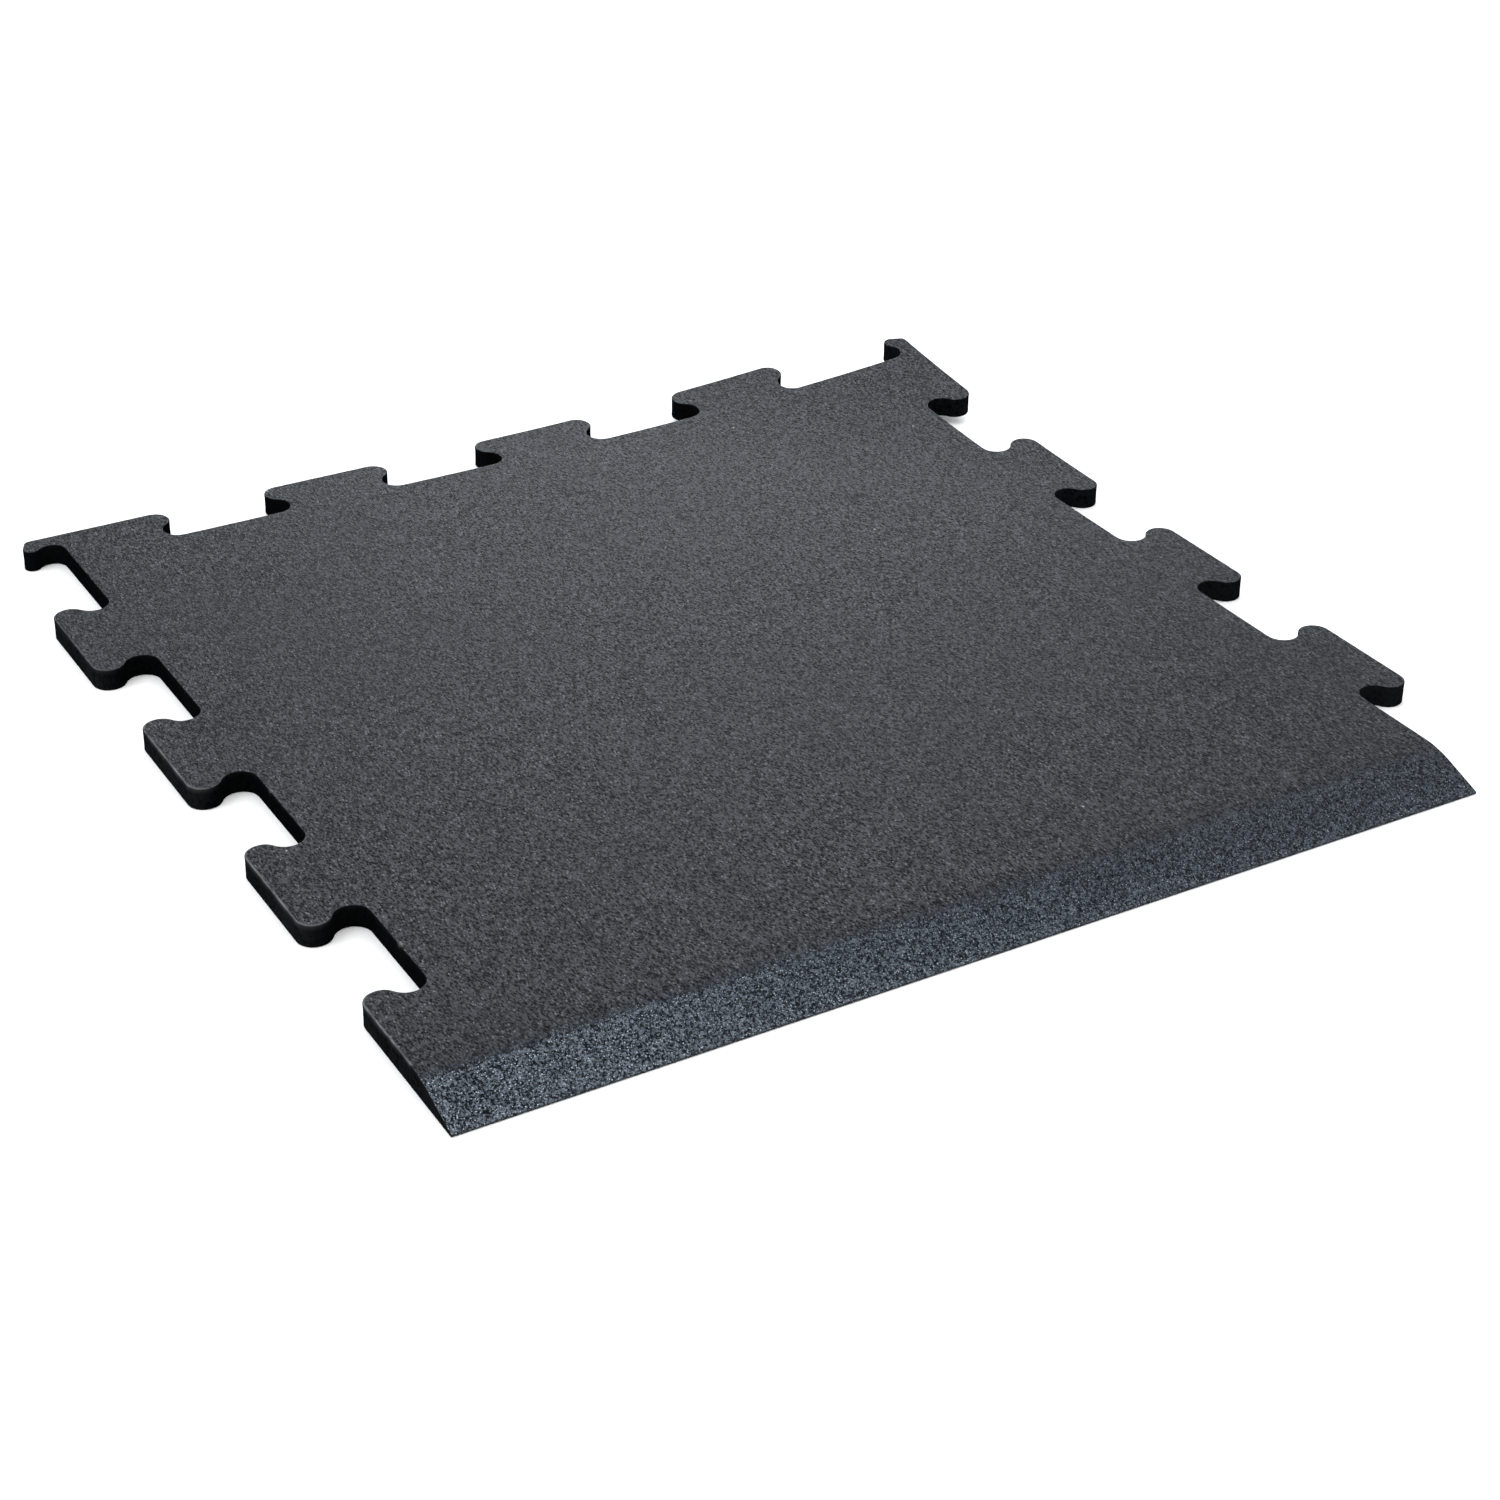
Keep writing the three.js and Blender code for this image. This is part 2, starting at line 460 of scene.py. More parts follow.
# %% Rings
support_inset = 1.3 * mm
foot_arris_width = 0.35 * mm
quarter_round = 0.3                     # the middle of a rounding, as a share of its width
cut_waver = 0.07 * mm                   # the cut face isn't quite plane
cut_waves, cut_layers = 60, 9           # per metre, and over the whole height
rounding_rings = (                       # inward, below the top, and the share of wear and painted highlight
    (0, 1, 0.2), (0.12, 0.5, 0.8), (0.45, 0.14, 1), (1, 0, 0.9),
)
rings = []


def add_ring(inset, share, below_top, worn):
    """inset is one value for each point. The ring lies below_top under the top face where
    share is 1, and that far above the underside where share is 0."""
    places = outline - outward * inset[:, None]
    high = top_height(places) - below_top
    z = high * share + below_top * (1 - share) + lift(places)
    rings.append((places, z, worn * tip_wear_and_highlight))


none = np.zeros(flat_count)
foot_arris = np.full(flat_count, foot_arris_width)
add_ring(none + support_inset, 0, none, 0)
add_ring(foot_arris, 0, none, 0)
add_ring(foot_arris * quarter_round, 0, foot_arris * quarter_round, 0)
add_ring(none, 0, foot_arris, 0)
for share in (0.25, 0.5, 0.75):
    waver = outline_noise(cut_waves, share * cut_layers)
    add_ring(cut_waver * (waver + 1), share, foot_arris, 0)
for inward, below, worn in rounding_rings:
    add_ring(bite * inward, 1, bite * below, worn)
add_ring(none + support_inset + bite - arris, 1, none, 0)
ring_points = len(rings) * flat_count
print(len(rings), "rings")

# %% [markdown]
# Filling the faces
#
# The two faces could be one big many-sided face each, but then the lifted corner couldn't
# bend and the ramp couldn't hold its crumbs. So points are strewn over them and joined by
# a Delaunay triangulation: dense on the ramp, where the crumbs need it, and wide apart on
# the flat. The points sit on a jittered grid, so that no rows show.

# %% Strewing points
row_ratio = 0.87                        # the height of an even triangle, by its side
jitter = 0.22                           # as a share of the gap, either way
points_at_once = 2000
chance = np.random.default_rng(11)


def strewn(low, high, gap):
    """A jittered grid of places between two corners."""
    x = np.arange(low[0], high[0], gap)
    y = np.arange(low[1], high[1], gap * row_ratio)
    grid = np.stack(np.meshgrid(x, y), axis=-1)
    grid[1::2, :, 0] += gap / 2
    grid = grid.reshape(-1, 2)
    grid += chance.uniform(-jitter, jitter, grid.shape) * gap
    return grid[(grid[:, 0] < high[0]) & (grid[:, 1] < high[1])]


def well_inside(places, clear):
    """The places inside the outline that keep this far from it."""
    kept = []
    a, b = outline, np.roll(outline, -1, axis=0)
    climb = np.where(a[:, 1] == b[:, 1], 1, b[:, 1] - a[:, 1])
    for part in np.array_split(places, max(1, len(places) // points_at_once)):
        x, y = part[:, :1], part[:, 1:]
        crosses = (a[:, 1] > y) != (b[:, 1] > y)
        at = a[:, 0] + (y - a[:, 1]) * (b[:, 0] - a[:, 0]) / climb
        inside = (crosses & (x < at)).sum(axis=1) % 2 == 1
        far = np.hypot(x - a[:, 0], y - a[:, 1]).min(axis=1) > clear
        kept.append(part[inside & far])
    return np.concatenate(kept)


print("the middle is inside the outline:", len(well_inside(np.zeros((1, 2)), point_gap)) == 1)

# %% Points on the faces
ramp_gap = 0.68 * mm
face_gap = 9 * mm
ramp_points_run = ground_run + 5 * mm
edge_clear = 2.1 * mm

ramp_low = np.array((-half + edge_clear, front_line + edge_clear))
ramp_high = np.array((half - tab_depth - edge_clear, front_line + ramp_points_run))
ramp_points = strewn(ramp_low, ramp_high, ramp_gap)
flat_low = (-half, ramp_high[1] + face_gap / 3)
face_points = well_inside(strewn(flat_low, (half, half), face_gap), face_gap / 3)
foot_points = strewn((-half, front_line), (half, half), 2 * face_gap)
foot_points = well_inside(foot_points, face_gap / 2)
print(len(ramp_points), "points on the ramp and", len(face_points), "on the top")

# %% [markdown]
# One mesh
#
# The tile is one piece of stock, so the sides, the top and the underside are one mesh.
# Three objects would be easier to fill, but their seams would show as lines of light. Each
# face of the mesh points to one of three finishes by its slot. The grinder also reaches the
# low upright foot of the ramp, so those faces take the finish of the top.

# %% Sides
verts, wear_and_highlight_values, faces, face_slots = [], [], [], []
top_slot, side_slot, foot_slot = 0, 1, 2
foot_steps, top_steps = 2, 2            # from ring to ring, with the finish of that face
for places, z, worn in rings:
    verts += [(x, y, h) for (x, y), h in zip(places, z)]
    wear_and_highlight_values += list(worn)

ring_steps = len(rings) - 1
step_slots = ([foot_slot] * foot_steps
              + [side_slot] * (ring_steps - foot_steps - top_steps)
              + [top_slot] * top_steps)
for k, step_slot in enumerate(step_slots):
    low, high = k * flat_count, (k + 1) * flat_count
    for i in range(flat_count):
        j = (i + 1) % flat_count
        faces.append((low + j, low + i, high + i, high + j))
        ground_foot = k > 0 and on_foot[i] and on_foot[j]
        face_slots.append(top_slot if ground_foot else step_slot)
print(len(faces), "faces round the edge")

# %% Top and underside
ring_only = 1                           # keep no triangle that is outside the ring
merge_within = 1e-7


def fill(first, points, heights, up, slot):
    """Triangles over the ring that starts at vertex first, through the strewn points."""
    base = len(verts)
    verts.extend((x, y, z) for (x, y), z in zip(points, heights))
    wear_and_highlight_values.extend([0] * len(points))
    spots = [Vector(verts[first + i][:2]) for i in range(flat_count)]
    spots += [Vector(p) for p in points]
    ring = list(range(flat_count))
    result = delaunay_2d_cdt(spots, [], [ring], ring_only, merge_within)
    origin = [first + o[0] if o[0] < flat_count else base + o[0] - flat_count
              for o in result[3]]
    for tri in result[2]:
        corner = [origin[i] for i in tri]
        p, q, r = (Vector(verts[i][:2]) for i in corner)
        turns_left = (q - p).cross(r - p) > 0
        faces.append(corner if turns_left == up else corner[::-1])
        face_slots.append(slot)


top_points = np.concatenate((ramp_points, face_points))
fill(ring_points - flat_count, top_points,
     top_height(top_points) + lift(top_points), True, top_slot)
underside_from = len(verts)
fill(0, foot_points, lift(foot_points), False, foot_slot)
print(len(verts), "points and", len(faces), "faces")

# %% [markdown]
# Relief and marks
#
# Now each point of the ramp moves up or down with its crumb. The last rings take a growing
# share of that, so the cut edge breaks up with the crumbs and doesn't tear. The mesh also
# carries five marks, one value for each point: how worn it is, with the painted highlight of
# the edge line, how clear it is of the painted shade in the sockets, how ground it is, with
# the painted shade at the ramp's right end, the number of its crumb, and how deep in a gap it
# lies. Painted textures could carry them too, but they would need an unwrapping, and here the
# shape gives the values by itself.

# %% Relief
ring_relief = (0, 0.25, 0.5, 0.7, 0.85)         # the share that the last rings take
relief_from = ring_points - len(ring_relief) * flat_count
foot_share = 0.4                        # how far the upright foot is ground
no_crumb = (0, 0.5, 0, 0)               # relief, number, gap and share off the ramp
crumb_numbers, gaps, shares = [], [], []
for i, (x, y, z) in enumerate(verts):
    dressed = relief_from <= i < underside_from and y < front_line + ramp_points_run
    relief, number, gap, share = crumb_at(x, y) if dressed else no_crumb
    if i < relief_from and on_foot[i % flat_count]:
        share = foot_share
    if relief_from <= i < ring_points:
        # The rings are counted back from the last one
        relief *= ring_relief[i // flat_count - len(rings)]
    verts[i] = (x, y, z + relief)
    crumb_numbers.append(number)
    gaps.append(gap)
    shares.append(share)
print("highest point", round(max(v[2] for v in verts) / mm, 2), "mm")

# %% The tile
clear_of_shade_values = np.zeros(len(verts))
clear_of_shade_values[:ring_points] = np.tile(clear_of_socket_shade, len(rings))
# worn holds wear and painted highlight; the socket mark and part of ground hold painted shade
marks = {"worn": wear_and_highlight_values, "clear_of_socket_shade": clear_of_shade_values, "crumb": crumb_numbers,
         "gap": gaps, "ground": shares}

tile_mesh = bpy.data.meshes.new("rubber_tile")
tile_mesh.from_pydata(verts, [], faces)
tile_mesh.polygons.foreach_set("material_index", face_slots)
tile_mesh.polygons.foreach_set("use_smooth", [True] * len(faces))
for name, values in marks.items():
    mark = tile_mesh.attributes.new(name, "FLOAT", "POINT")
    mark.data.foreach_set("value", np.array(values, np.float32))
tile_mesh.update()
tile = bpy.data.objects.new("rubber_tile", tile_mesh)
bpy.context.scene.collection.objects.link(tile)
print(tile.name, "carries the marks", list(marks))

# %% [markdown]
# Helpers for nodes
#
# Each finish of the tile is a tree of shader nodes. Such a tree could be clicked together
# by hand, but then nobody could read how it was made. Written out in full, every node takes
# three or four lines. So a few helpers make a node, fill in its values and link it, and a
# sum or a smooth step takes one line.

# %% Nodes and links


def new_group(name, inputs, outputs):
    """An empty shader node group. inputs has names with defaults, and outputs has names."""
    tree = bpy.data.node_groups.new(name, "ShaderNodeTree")
    for label, default in inputs:
        socket = tree.interface.new_socket(
            name=label, in_out="INPUT", socket_type="NodeSocketFloat")
        socket.default_value = default
    for label in outputs:
        tree.interface.new_socket(name=label, in_out="OUTPUT", socket_type="NodeSocketFloat")
    return tree, tree.nodes.new("NodeGroupInput"), tree.nodes.new("NodeGroupOutput")


def link(tree, source, target):
    tree.links.new(source, target)


def put(tree, kind, values=None, **settings):
    """A node with its settings and its unlinked inputs filled in."""
    node = tree.nodes.new(kind)
    for key, value in settings.items():
        setattr(node, key, value)
    for key, value in (values or {}).items():
        node.inputs[key].default_value = value
    return node


def feed(tree, value, target):
    """Links a socket to an input, or sets the input where the value is a plain one."""
    if isinstance(value, bpy.types.NodeSocket):
        link(tree, value, target)
    else:
        target.default_value = value


print("helpers", [f.__name__ for f in (new_group, link, put, feed)])

# %% Sums, smooth steps, marks and places


def sums(tree, operation, first, second):
    """A Math node on two values, each a number or a socket."""
    node = put(tree, "ShaderNodeMath", operation=operation)
    feed(tree, first, node.inputs[0])
    feed(tree, second, node.inputs[1])
    return node.outputs[0]


def plus(tree, first, second):
    return sums(tree, "ADD", first, second)


def minus(tree, first, second):
    return sums(tree, "SUBTRACT", first, second)


def times(tree, first, second):
    return sums(tree, "MULTIPLY", first, second)


def ramped(tree, value, low, high, to_low=0.0, to_high=1.0):
    """Maps a value from low..high to to_low..to_high, smoothly and held at both ends."""
    node = put(tree, "ShaderNodeMapRange", {"To Min": to_low, "To Max": to_high},
               interpolation_type="SMOOTHSTEP")
    feed(tree, value, node.inputs["Value"])
    feed(tree, low, node.inputs["From Min"])
    feed(tree, high, node.inputs["From Max"])
    return node.outputs["Result"]


def marked(tree, name):
    """A mark that the mesh carries, from 0 to 1."""
    return put(tree, "ShaderNodeAttribute", attribute_name=name).outputs["Fac"]


def object_place(tree):
    """The place on the object itself, which doesn't change with the view."""
    return put(tree, "ShaderNodeTexCoord").outputs["Object"]


print("helpers", [f.__name__ for f in (sums, plus, minus, times, ramped, marked, object_place)])

# %% [markdown]
# The speckle
#
# Black rubber crumb is never one flat black. Seen close, it is pale crumbs, dark crumbs
# and small holes. A picture of the sheet could be laid over it, but its grain would be
# seen to repeat. So the speckle is worked out from a Voronoi pattern, with one cell for
# each crumb, and a finer noise. All the surfaces have it, each at its own strength, so it
# is a node group that is built once.

# %% Crumbs and grain of the speckle
lattice_turn = (0.35, 0.22, 0.5)        # so that the noise's own lattice can't show as a weave
grains_per_crumb = 1.25

speckle, speckle_in, speckle_out = new_group(
    "speckle",
    [("Crumbs per metre", 900.0), ("Hole share", 0.3), ("Pale share", 0.3),
     ("Drawn out", 1.0)],
    ["Holes", "Pale", "Tone", "Crumb", "Height"],
)
# Below 1, Drawn out makes the crumbs longer from front to back
sheet_scale = put(speckle, "ShaderNodeCombineXYZ", {"X": 1.0, "Z": 1.0})
link(speckle, speckle_in.outputs["Drawn out"], sheet_scale.inputs["Y"])
drawn_out = put(speckle, "ShaderNodeMapping", {"Rotation": lattice_turn})
link(speckle, object_place(speckle), drawn_out.inputs["Vector"])
link(speckle, sheet_scale.outputs[0], drawn_out.inputs["Scale"])

crumbs = put(speckle, "ShaderNodeTexVoronoi", {"Randomness": 1.0}, feature="F1")
link(speckle, drawn_out.outputs["Vector"], crumbs.inputs["Vector"])
link(speckle, speckle_in.outputs["Crumbs per metre"], crumbs.inputs["Scale"])
crumb_chance = put(speckle, "ShaderNodeSeparateColor")
link(speckle, crumbs.outputs["Color"], crumb_chance.inputs[0])
fine = put(speckle, "ShaderNodeTexNoise", {"Detail": 2.0, "Roughness": 0.6})
link(speckle, drawn_out.outputs["Vector"], fine.inputs["Vector"])
link(speckle, times(speckle, speckle_in.outputs["Crumbs per metre"], grains_per_crumb),
     fine.inputs["Scale"])
print("the speckle has", len(speckle.nodes), "nodes so far")

# %% Holes and pale crumbs of the speckle
hole_reach = (0.25, 0.6)                # fades over these distances from a crumb's middle
pale_reach = (0.15, 0.55)
hole_fade = 0.10
pale_line = 0.95                        # with a share of 0, only crumbs past this are pale
grain_height = 0.6

from_middle = crumbs.outputs["Distance"]
hole_share = speckle_in.outputs["Hole share"]
holes = times(speckle,
              ramped(speckle, crumb_chance.outputs["Red"], hole_share,
                     plus(speckle, hole_share, hole_fade), 1, 0),
              ramped(speckle, from_middle, *hole_reach, 1, 0))
pale_from = minus(speckle, pale_line, speckle_in.outputs["Pale share"])
pale = times(speckle,
             ramped(speckle, crumb_chance.outputs["Green"], pale_from, 1.0),
             ramped(speckle, from_middle, *pale_reach, 1, 0))
height = minus(speckle, times(speckle, fine.outputs["Fac"], grain_height), holes)
for label, source in (("Holes", holes), ("Pale", pale), ("Tone", fine.outputs["Fac"]),
                      ("Crumb", crumb_chance.outputs["Blue"]), ("Height", height)):
    link(speckle, source, speckle_out.inputs[label])
print("group", speckle.name, "with", len(speckle.nodes), "nodes")

# %% [markdown]
# Wear, dust and flecks
# Wear with a painted highlight, dust and flecks
#
# Three more effects lie over the speckle. The lighter edge line takes the mark that the mesh
# carries, which is partly wear and partly a painted highlight, and breaks it up, because wear
# comes in patches. Dust gathers in soft clouds. The flecks are the few pale grains that
# recycled rubber has here and there. Each could be nodes inside one material, but as groups
# they are built once, and each finish places the ones that it needs, with its own values.

# %% Worn edge with painted highlight
patch_range = (0.35, 0.65)

# partly wear and partly a painted highlight on the edges that face the light
edge_wear_and_highlight, worn_in, worn_out = new_group(
    "edge_wear_and_highlight", [("Strength", 1.0), ("Patchiness", 0.5)], ["Mask"])
patches = put(edge_wear_and_highlight, "ShaderNodeTexNoise", {"Scale": 90.0, "Detail": 3.0})
link(edge_wear_and_highlight, object_place(edge_wear_and_highlight), patches.inputs["Vector"])
spared = minus(edge_wear_and_highlight, 1.0, ramped(edge_wear_and_highlight, patches.outputs["Fac"], *patch_range))
left_over = minus(edge_wear_and_highlight, 1.0, times(edge_wear_and_highlight, worn_in.outputs["Patchiness"], spared))
mask = times(edge_wear_and_highlight, marked(edge_wear_and_highlight, "worn"), left_over)
link(edge_wear_and_highlight, times(edge_wear_and_highlight, mask, worn_in.outputs["Strength"]), worn_out.inputs["Mask"])
print("group", edge_wear_and_highlight.name, "with", len(edge_wear_and_highlight.nodes), "nodes")

# %% Dust
cloud_range = (0.35, 0.7)

dust, dust_in, dust_out = new_group(
    "dust", [("Amount", 0.3), ("Patches per metre", 6.0)], ["Mask"])
clouds = put(dust, "ShaderNodeTexNoise", {"Detail": 5.0, "Roughness": 0.62})
link(dust, object_place(dust), clouds.inputs["Vector"])
link(dust, dust_in.outputs["Patches per metre"], clouds.inputs["Scale"])
cloudy = ramped(dust, clouds.outputs["Fac"], *cloud_range)
link(dust, times(dust, cloudy, dust_in.outputs["Amount"]), dust_out.inputs["Mask"])
print("group", dust.name, "with", len(dust.nodes), "nodes")

# %% Flecks
fleck_core = 0.5                        # a fleck is fully pale to this share of its radius

flecks, flecks_in, flecks_out = new_group(
    "flecks", [("Flecks per metre", 40.0), ("Share", 0.3), ("Size", 0.03)], ["Mask"])
grains = put(flecks, "ShaderNodeTexVoronoi", feature="F1")
link(flecks, object_place(flecks), grains.inputs["Vector"])
link(flecks, flecks_in.outputs["Flecks per metre"], grains.inputs["Scale"])
chosen = put(flecks, "ShaderNodeSeparateColor")
link(flecks, grains.outputs["Color"], chosen.inputs[0])
present = sums(flecks, "LESS_THAN", chosen.outputs["Red"], flecks_in.outputs["Share"])
fleck_size = flecks_in.outputs["Size"]
outside = ramped(flecks, grains.outputs["Distance"],
                 times(flecks, fleck_size, fleck_core), fleck_size)
link(flecks, times(flecks, present, minus(flecks, 1.0, outside)), flecks_out.inputs["Mask"])
print("group", flecks.name, "with", len(flecks.nodes), "nodes")

# %% [markdown]
# What the finishes have in common
#
# Each finish mixes a few dark greys by the masks of those groups, and a bump gives the
# speckle its depth. The greys could be painted on a picture, but mixed in the material
# they stay sharp however close the tile is looked at. Rubber is dull, so each finish has a
# high roughness and little or no shine.

# %% Helpers for finishes


def use(tree, group, **values):
    """A group placed in a material, with its inputs set by name."""
    node = put(tree, "ShaderNodeGroup", node_tree=group)
    for key, value in values.items():
        node.inputs[key.replace("_", " ")].default_value = value
    return node


def mixed(tree, share, first, second):
    """A colour mix, where each colour is three numbers or a socket."""
    node = put(tree, "ShaderNodeMix", data_type="RGBA", clamp_factor=True)
    colour_inputs = [s for s in node.inputs if s.type == "RGBA"]
    link(tree, share, node.inputs[0])
    for target, colour in zip(colour_inputs, (first, second)):
        feed(tree, (*colour, 1) if isinstance(colour, tuple) else colour, target)
    return next(s for s in node.outputs if s.type == "RGBA")


def new_finish(name, shine):
    """A material with its shader's constant values set on the shader itself."""
    material = bpy.data.materials.new(name)
    material.use_nodes = True
    tree = material.node_tree
    shader = tree.nodes["Principled BSDF"]
    shader.inputs["Metallic"].default_value = 0
    shader.inputs["Specular IOR Level"].default_value = shine
    return material, tree, shader


def raised(tree, shader, height, depth):
    """Feeds a height into the shader's normal, at this depth in metres."""
    bump = put(tree, "ShaderNodeBump", {"Strength": 1.0, "Distance": depth})
    link(tree, height, bump.inputs["Height"])
    link(tree, bump.outputs["Normal"], shader.inputs["Normal"])


print("helpers", [f.__name__ for f in (use, mixed, new_finish, raised)])

# %% [markdown]
# The pressed top
#
# The press closes the top to a dull skin, but the crumbs still show through it, and so do
# small pits between them. Noise alone would give soft clouds. So each crumb takes a shade
# of its own, with a finer grain over it. Then come the pits, the pale crumbs, the dust and
# the flecks, each mixed in by its mask, and in this order no dust lies on the pale flecks.
# Round crumbs would look flattened from a low camera, and those of the real tile don't, so
# they are drawn out from front to back.

# %% Pressed top
skin_dark, skin_light = (0.0008, 0.0010, 0.0014), (0.0425, 0.0450, 0.0495)
skin_pit = (0.0004, 0.0005, 0.0008)
skin_pale = (0.1220, 0.1280, 0.1390)
skin_dust = (0.0200, 0.0212, 0.0240)
fleck_white = (0.30, 0.31, 0.32)
skin_grain = (0.39, 0.61)               # the stretch of the noise that counts
grain_share = 0.4                       # of the shade, and the rest is the crumb's own
tone_range = (0.15, 0.85)

top_finish, tree, shader = new_finish("pressed_top_and_ground_ramp", shine=0.036)
small = use(tree, speckle, Crumbs_per_metre=900.0, Hole_share=0.50, Pale_share=0.34,
            Drawn_out=0.48)
skin_tone = plus(tree, times(tree, ramped(tree, small.outputs["Tone"], *skin_grain), grain_share),
                 times(tree, small.outputs["Crumb"], 1 - grain_share))
skin = mixed(tree, ramped(tree, skin_tone, *tone_range), skin_dark, skin_light)
skin = mixed(tree, small.outputs["Holes"], skin, skin_pit)
skin = mixed(tree, small.outputs["Pale"], skin, skin_pale)
dusty = use(tree, dust, Amount=0.3, Patches_per_metre=5.0)
skin = mixed(tree, dusty.outputs["Mask"], skin, skin_dust)
fleck = use(tree, flecks, Flecks_per_metre=42.0, Share=0.3, Size=0.032)
skin = mixed(tree, fleck.outputs["Mask"], skin, fleck_white)
print("the skin has", len(tree.nodes), "nodes")

# %% [markdown]
# The ground ramp
#
# Where the skin is ground off, the crumbs are cut open. They are paler and bluer there,
# with black between them. The ramp could be a material of its own, but then the ragged line
# between it and the top would have to run along the edges of faces. So the two are one
# material, mixed by the mark that says how far each point is ground. That mark also holds
# the painted shade at the ramp's right end.

# %% Ground ramp
ramp_dark, ramp_light = (0.003, 0.004, 0.006), (0.130, 0.152, 0.178)
ramp_pale = (0.500, 0.550, 0.590)
cell_share = 0.15                       # of the shade goes with the crumbs of the relief
gap_range, gap_shade = (0.3, 1.0), 0.22         # how much the gaps darken
light_range, light_shade = (0.7, 1.0), 0.42     # how much lightly ground crumb darkens, partly painted shade

coarse = use(tree, speckle, Crumbs_per_metre=1250.0, Hole_share=0.38, Pale_share=0.36)
crumb_tone = plus(tree, times(tree, marked(tree, "crumb"), cell_share),
                  times(tree, coarse.outputs["Crumb"], 1 - cell_share))
open_crumb = mixed(tree, ramped(tree, crumb_tone, *tone_range), ramp_dark, ramp_light)
open_crumb = mixed(tree, coarse.outputs["Pale"], open_crumb, ramp_pale)
open_crumb = mixed(tree, coarse.outputs["Holes"], open_crumb, ramp_dark)
in_gap = ramped(tree, marked(tree, "gap"), *gap_range, 0, gap_shade)
open_crumb = mixed(tree, in_gap, open_crumb, ramp_dark)

# Lightly ground crumb is darker, as some skin covers it, and at the right end as painted shade
ground = marked(tree, "ground")
covered_and_shaded = ramped(tree, ground, *light_range, light_shade, 0)
open_crumb = mixed(tree, covered_and_shaded, open_crumb, ramp_dark)
colour = mixed(tree, ground, skin, open_crumb)
print("with the ramp it has", len(tree.nodes), "nodes")

# %% [markdown]
# Wear, painted highlight and roughness of the top
#
# Along the tabs the edge is a thin line of paler grey, partly rubbed wear and partly a painted
# highlight. It crosses both the skin and the ramp, so it is mixed in last. A single roughness
# would make the top look like plastic, because it would shine alike all over. Here the grain
# changes it a little, and pits and ground crumb are duller than the skin.

# %% Wear with painted highlight, roughness and bump of the top
# the grey of the edge line, partly wear and partly a painted highlight
wear_and_highlight_grey = (0.150, 0.158, 0.158)
dull_grain, skin_roughness = (0.36, 0.64), (0.58, 0.50)
pit_roughness, ground_roughness = 0.1, 0.1      # more than the skin's

worn = use(tree, edge_wear_and_highlight, Strength=0.85, Patchiness=0.6)
link(tree, mixed(tree, worn.outputs["Mask"], colour, wear_and_highlight_grey), shader.inputs["Base Color"])
dull = ramped(tree, small.outputs["Tone"], *dull_grain, *skin_roughness)
dull = plus(tree, dull, times(tree, small.outputs["Holes"], pit_roughness))
dull = plus(tree, dull, times(tree, ground, ground_roughness))
link(tree, dull, shader.inputs["Roughness"])
raised(tree, shader, small.outputs["Height"], depth=0.18 * mm)
print("finish", top_finish.name, "with", len(tree.nodes), "nodes")

# %% [markdown]
# The cut sides
# The die leaves a close, matt cut that is much darker than the top, because no crumb is
# rubbed open. Deep in the sockets, where less light reaches, the walls are painted black as
# painted shade, and the tab tips keep the lighter cut. The lamps alone could make that
# difference, but the pale floor throws light into the sockets. So the finish paints the shade
# in: it mixes a black and the cut by the mark that the mesh carries.

# %% Cut sides
cut_dark, cut_light = (0.0018, 0.0020, 0.0024), (0.0058, 0.0061, 0.0066)
cut_pit = (0.0008, 0.0008, 0.0012)
cut_dust = (0.014, 0.014, 0.0145)
painted_socket_shade = (0.0004, 0.0005, 0.0006)
wide_grain = (0.3, 0.7)
cut_roughness = (0.6, 0.8)

side_finish, tree, shader = new_finish("die_cut_side", shine=0.0)
small = use(tree, speckle, Crumbs_per_metre=420.0, Hole_share=0.2, Pale_share=0.15)
side = mixed(tree, ramped(tree, small.outputs["Tone"], *wide_grain), cut_dark, cut_light)
side = mixed(tree, small.outputs["Holes"], side, cut_pit)
dusty = use(tree, dust, Amount=0.3, Patches_per_metre=20.0)
side = mixed(tree, dusty.outputs["Mask"], side, cut_dust)
# painted shade: the walls deep in the sockets turn black
side = mixed(tree, marked(tree, "clear_of_socket_shade"), painted_socket_shade, side)
# the edge line, partly wear and partly a painted highlight
worn = use(tree, edge_wear_and_highlight, Strength=0.5, Patchiness=0.7)
link(tree, mixed(tree, worn.outputs["Mask"], side, wear_and_highlight_grey), shader.inputs["Base Color"])
dull = ramped(tree, small.outputs["Tone"], *wide_grain, *cut_roughness)
link(tree, dull, shader.inputs["Roughness"])
raised(tree, shader, small.outputs["Height"], depth=0.08 * mm)
print("finish", side_finish.name, "with", len(tree.nodes), "nodes")

# %% [markdown]
# The underside
#
# The underside of such a tile mostly keeps the coarse grain of the press, and dust from the
# floor sticks to it. The camera doesn't see it, so it could be left plain. But the tile is
# looked at from all sides, and from low down the lifted corner shows a little of it. So it
# has a finish of its own, made like the cut sides, but with more depth and without wear.

# %% Underside
foot_dark, foot_light = (0.018, 0.018, 0.019), (0.030, 0.030, 0.032)
foot_pit = (0.006, 0.006, 0.007)
foot_pale = (0.065, 0.067, 0.072)
foot_dust = (0.085, 0.083, 0.078)
foot_grain = (0.35, 0.65)
foot_roughness = (0.75, 0.9)

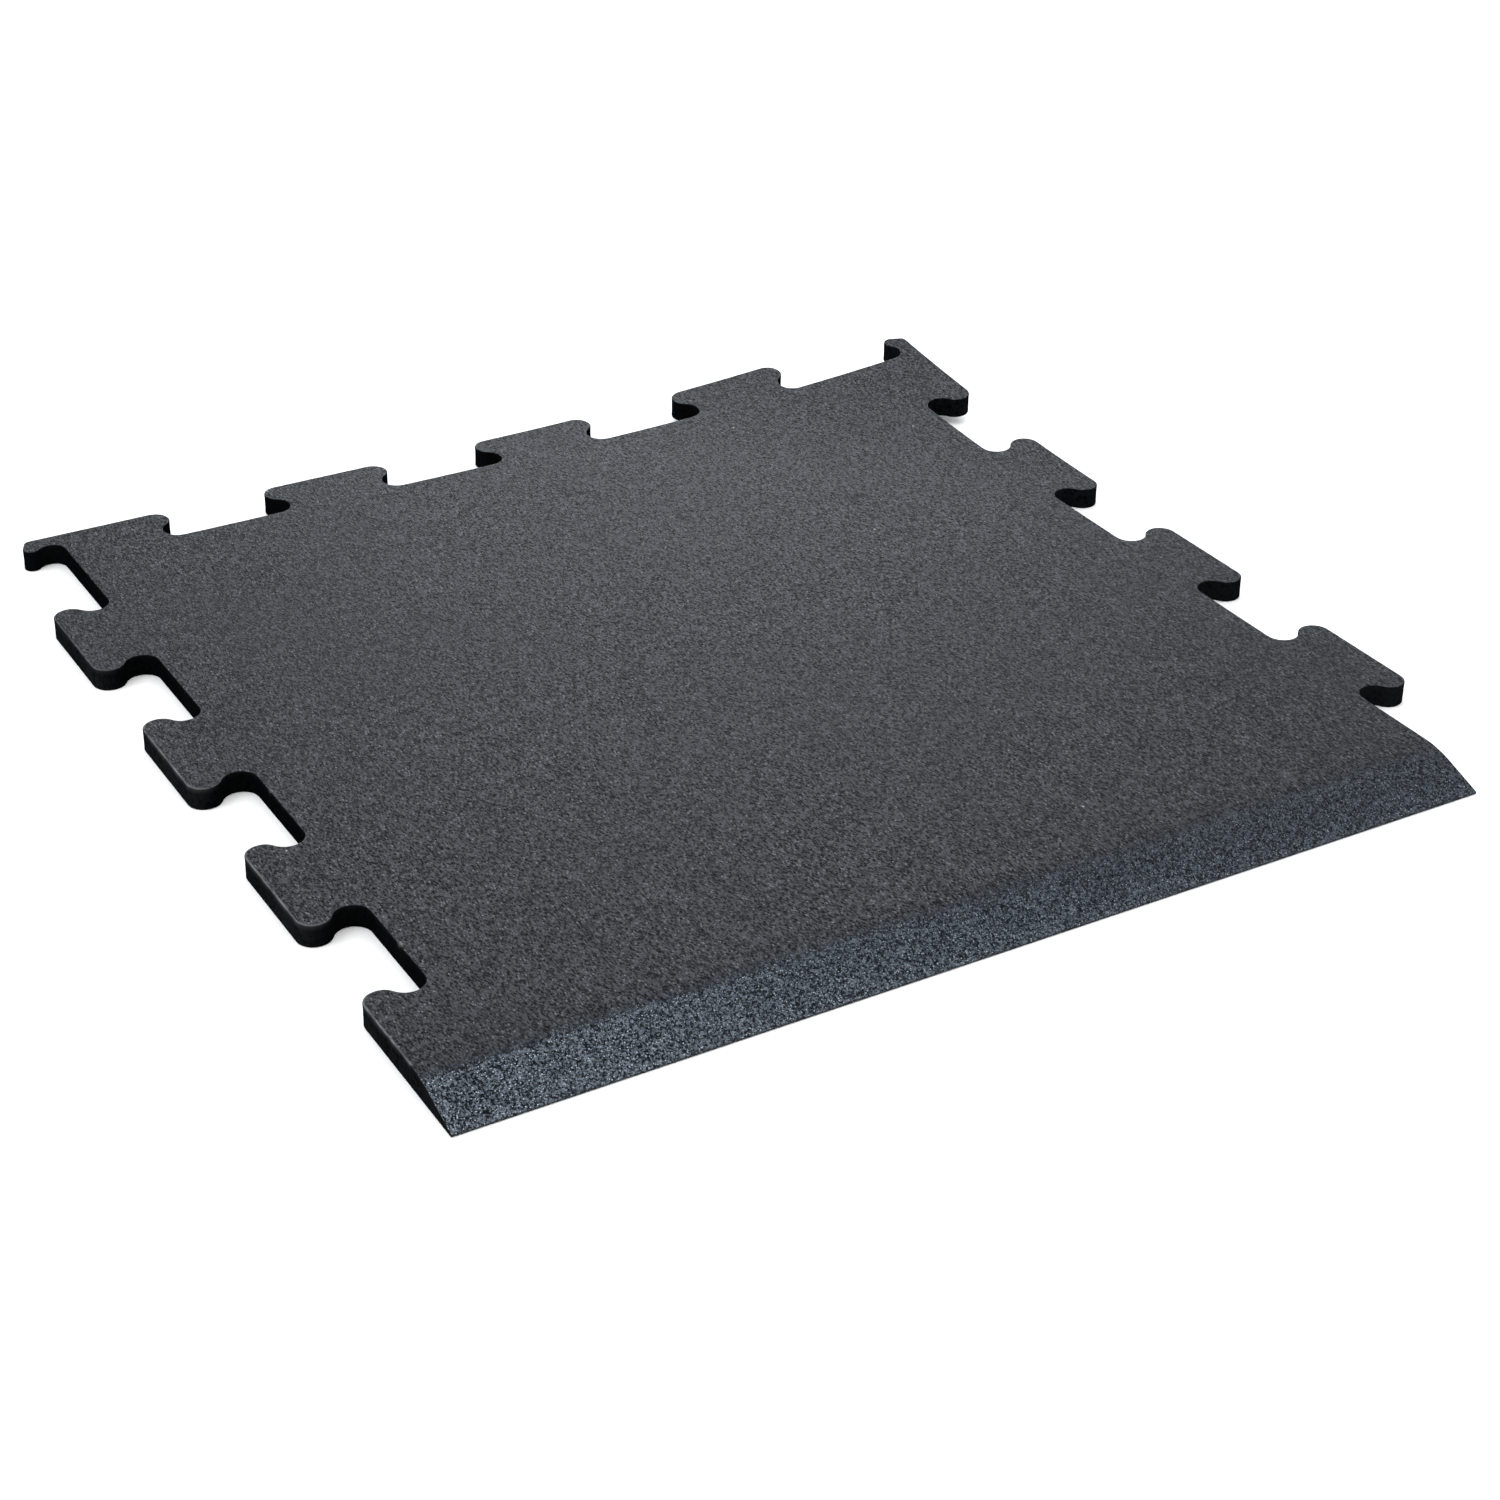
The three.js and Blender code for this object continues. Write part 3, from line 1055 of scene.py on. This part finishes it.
foot_finish, tree, shader = new_finish("pressed_underside", shine=0.15)
small = use(tree, speckle, Crumbs_per_metre=480.0, Hole_share=0.3, Pale_share=0.3)
foot = mixed(tree, ramped(tree, small.outputs["Tone"], *foot_grain), foot_dark, foot_light)
foot = mixed(tree, small.outputs["Holes"], foot, foot_pit)
foot = mixed(tree, small.outputs["Pale"], foot, foot_pale)
dusty = use(tree, dust, Amount=0.3, Patches_per_metre=9.0)
foot = mixed(tree, dusty.outputs["Mask"], foot, foot_dust)
link(tree, foot, shader.inputs["Base Color"])
dull = ramped(tree, small.outputs["Tone"], *wide_grain, *foot_roughness)
link(tree, dull, shader.inputs["Roughness"])
raised(tree, shader, small.outputs["Height"], depth=0.3 * mm)
print("finish", foot_finish.name, "with", len(tree.nodes), "nodes")

# %% [markdown]
# The tile in the frame
#
# The mesh takes its finishes in the order of its slots. Then the frame has to know what the
# mesh is, or it would show the plain solid as well: it rides on the root body, and it replaces
# the solid of the tile.

# %% The tile takes its finishes and its place
for finish in (top_finish, side_finish, foot_finish):
    tile_mesh.materials.append(finish)
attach(tile, "root")
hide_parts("tile")
print("finishes", [m.name for m in tile_mesh.materials])

# %% [markdown]
# The floor
#
# A studio shot of a black tile wants a floor that is nearly white, with no edge in sight.
# A curved sheet of paper could do that, but a very wide plane under an even sky has no bend
# that might show. It lies a hair below the underside, because two faces in one plane would
# mix into each other. Its white is slightly warm, because the light is slightly blue, and
# together they come out neutral.

# %% Floor
floor_reach = 12
floor_drop = 0.2 * mm
paper_shade, paper_white = (0.966, 0.945, 0.914), (0.984, 0.962, 0.930)
floor_corners = ((-1, -1), (1, -1), (1, 1), (-1, 1))

floor_mesh = bpy.data.meshes.new("floor")
floor_mesh.from_pydata([(x * floor_reach, y * floor_reach, 0) for x, y in floor_corners],
                       [], [(0, 1, 2, 3)])
floor = bpy.data.objects.new("floor", floor_mesh)
floor.location.z = -floor_drop
bpy.context.scene.collection.objects.link(floor)

floor_finish, tree, shader = new_finish("plain_pale_floor", shine=0.2)
paper = put(tree, "ShaderNodeTexNoise", {"Scale": 3.0, "Detail": 2.0})
link(tree, object_place(tree), paper.inputs["Vector"])
link(tree, mixed(tree, paper.outputs["Fac"], paper_shade, paper_white),
     shader.inputs["Base Color"])
shader.inputs["Roughness"].default_value = 0.9
floor_mesh.materials.append(floor_finish)
print("the floor is", 2 * floor_reach, "m wide")

# %% [markdown]
# The light
#
# A black surface shows its shape by a slow change of tone, and only large soft lamps give
# that. Small ones would leave hard glints on the crumbs. A wide lamp stands low behind the
# right side. Its shine slides over the top and makes the back paler than the front. A
# weaker one hangs over the left, and an even white sky fills in from all round.

# %% Light
lamp_colour = (0.95, 1.0, 1.07)
sky_colour, sky_strength = (0.975, 1, 1.035, 1), 1.42
lamps = (                               # name, place, what it points at, width and power
    ("back_lamp", (1.55, 2.75, 1.15), (0.1, 0.2, 0), 1.7, 54),
    ("left_lamp", (-1.3, 0.2, 1.7), (-0.1, -0.1, 0), 1.2, 10),
)

world = bpy.data.worlds.new("studio")
world.use_nodes = True
sky = world.node_tree.nodes["Background"]
sky.inputs["Color"].default_value = sky_colour
sky.inputs["Strength"].default_value = sky_strength
bpy.context.scene.world = world

for name, place, aim, width, power in lamps:
    data = bpy.data.lights.new(name, "AREA")
    data.shape = "DISK"
    data.size = width
    data.energy = power
    data.color = lamp_colour
    lamp = bpy.data.objects.new(name, data)
    lamp.location = place
    lamp.rotation_euler = (Vector(aim) - Vector(place)).to_track_quat("-Z", "Y").to_euler()
    bpy.context.scene.collection.objects.link(lamp)
bpy.context.scene.view_settings.view_transform = "Standard"
